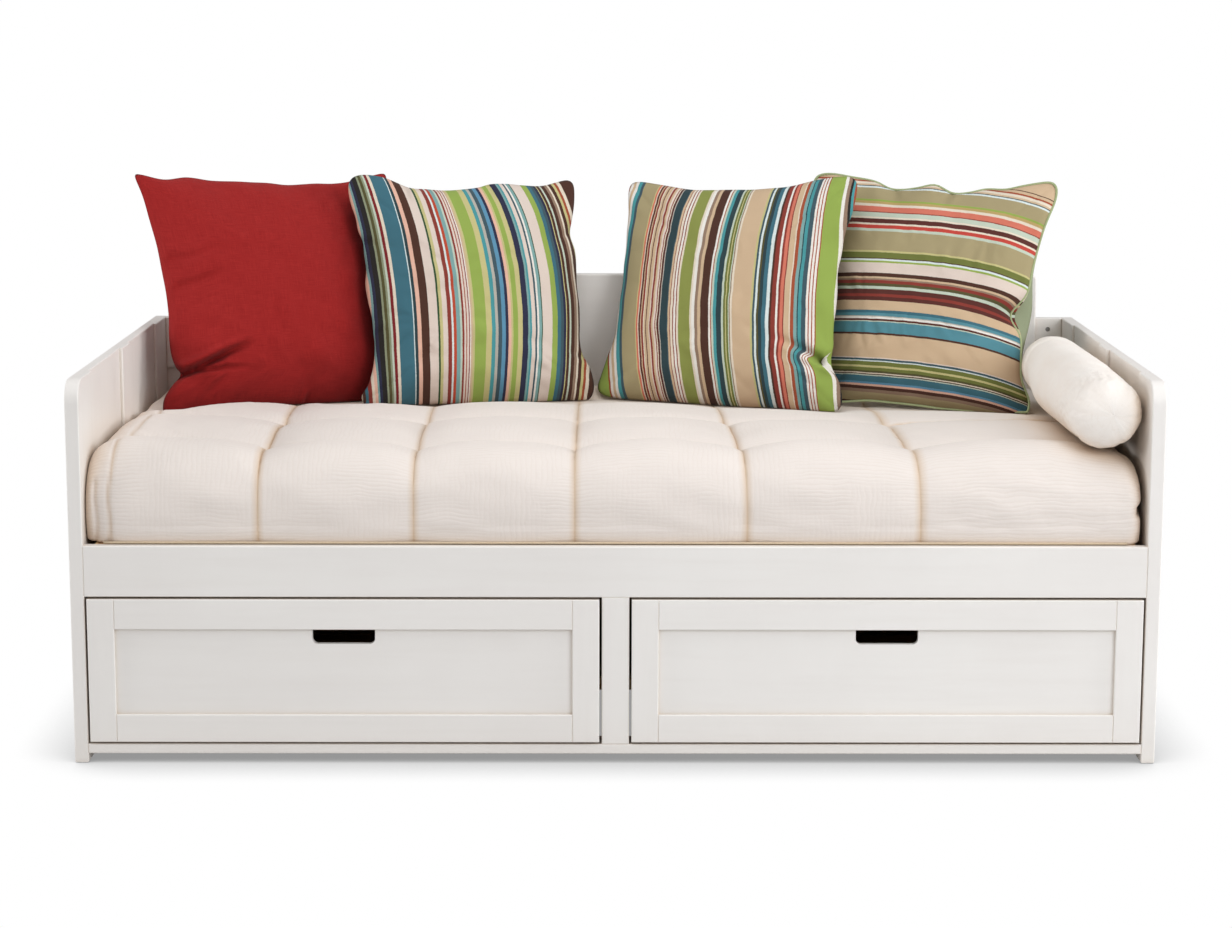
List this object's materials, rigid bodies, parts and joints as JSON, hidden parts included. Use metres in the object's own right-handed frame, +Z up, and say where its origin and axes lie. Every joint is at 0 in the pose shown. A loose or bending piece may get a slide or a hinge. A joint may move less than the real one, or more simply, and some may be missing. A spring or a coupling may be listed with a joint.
{
  "type": "storage daybed",
  "caption": "White painted panelled daybed with slatted base, storage drawers on wooden runners, tufted cream mattress, bolster and striped pillows.",
  "frame": {"origin": "centre of the bounding box at floor level", "axes": "X runs along the bed, Y from the front with the drawers to the back, Z up; the drawers pull out towards -Y"},
  "size_m": [1.98, 1.033, 1.0228],
  "materials": {
    "white_paint": "satin off-white paint on wood",
    "bare_wood": "planed pine, unpainted",
    "drawer_wood": "clear lacquered birch plywood and solid wood",
    "steel": "zinc plated, satin",
    "glide_plastic": "matte moulded plastic",
    "mattress_cotton": "crinkled cream cotton gauze, tufted",
    "red_linen": "plain woven red linen",
    "striped_cotton": "woven cotton in many coloured stripes",
    "cream_muslin": "soft plain cream muslin"
  },
  "bodies": {
    "bed": {"left_arm_front_stile": "white_paint", "left_arm_middle_stile": "white_paint", "left_arm_rear_stile": "white_paint", "left_arm_lower_rail": "white_paint", "left_arm_front_panel": "white_paint", "left_arm_rear_panel": "white_paint", "right_arm_front_stile": "white_paint", "right_arm_middle_stile": "white_paint", "right_arm_rear_stile": "white_paint", "right_arm_lower_rail": "white_paint", "right_arm_front_panel": "white_paint", "right_arm_rear_panel": "white_paint", "front_rail": "white_paint", "centre_stile": "white_paint", "bottom_rail": "white_paint", "back_top_rail": "white_paint", "back_middle_rail": "white_paint", "back_bottom_rail": "white_paint", "back_upper_panel": "white_paint", "back_lower_panel": "white_paint", "raised_back": "white_paint", "front_ledger": "bare_wood", "rear_ledger": "bare_wood", "slat_beam": "bare_wood", "slats": "bare_wood", "centre_partition": "bare_wood", "left_outer_runner": "bare_wood", "left_inner_runner": "bare_wood", "right_inner_runner": "bare_wood", "right_outer_runner": "bare_wood", "frame_bolts": "steel", "barrel_nuts": "steel", "floor_glides": "glide_plastic", "mattress": "mattress_cotton", "red_pillow": "red_linen", "left_striped_pillow": "striped_cotton", "right_striped_pillow": "striped_cotton", "rear_striped_pillow": "striped_cotton", "bolster": "cream_muslin"},
    "left_drawer": {"left_drawer_top_rail": "white_paint", "left_drawer_bottom_rail": "white_paint", "left_drawer_inner_stile": "white_paint", "left_drawer_outer_stile": "white_paint", "left_drawer_panel": "white_paint", "left_drawer_inner_side": "drawer_wood", "left_drawer_outer_side": "drawer_wood", "left_drawer_back": "drawer_wood", "left_drawer_base": "drawer_wood", "left_drawer_stops": "drawer_wood"},
    "right_drawer": {"right_drawer_top_rail": "white_paint", "right_drawer_bottom_rail": "white_paint", "right_drawer_inner_stile": "white_paint", "right_drawer_outer_stile": "white_paint", "right_drawer_panel": "white_paint", "right_drawer_inner_side": "drawer_wood", "right_drawer_outer_side": "drawer_wood", "right_drawer_back": "drawer_wood", "right_drawer_base": "drawer_wood", "right_drawer_stops": "drawer_wood"}
  },
  "joints": [
    {"name": "left_drawer_slide", "type": "slide", "parent": "bed", "child": "left_drawer", "axis": [0, -1, 0], "range_m": [0, 0.48]},
    {"name": "right_drawer_slide", "type": "slide", "parent": "bed", "child": "right_drawer", "axis": [0, -1, 0], "range_m": [0, 0.48]}
  ]
}
